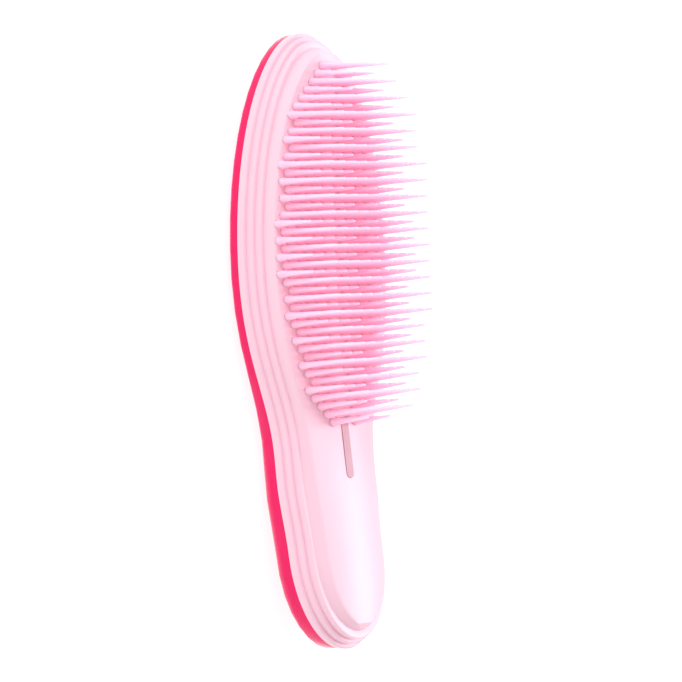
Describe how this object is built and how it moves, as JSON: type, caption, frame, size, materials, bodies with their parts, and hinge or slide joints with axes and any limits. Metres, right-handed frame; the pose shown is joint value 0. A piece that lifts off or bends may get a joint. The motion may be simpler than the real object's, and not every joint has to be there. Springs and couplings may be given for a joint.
{
  "type": "detangling hair brush",
  "caption": "Handled hair brush with a domed glossy back cover, a terraced body and a pad of flexible teeth in two lengths.",
  "frame": {"origin": "on the table under the middle of the brush's length, where the brush lies on its back", "axes": "+X along the brush towards the head's tip, +Z the way the teeth point, XZ the plane of symmetry"},
  "size_m": [0.2234, 0.0646, 0.0545],
  "materials": {
    "cover_gloss": "high-gloss hot pink moulding",
    "body_shell": "satin pale pink moulding",
    "tooth_elastomer": "smooth flexible mid-pink elastomer",
    "inner_plastic": "plain unpolished moulding"
  },
  "bodies": {
    "root": {"back_cover": "cover_gloss", "body": "body_shell", "tooth_pad": "tooth_elastomer", "long_teeth": "tooth_elastomer", "short_teeth": "tooth_elastomer", "pad_support": "inner_plastic"}
  },
  "joints": []
}
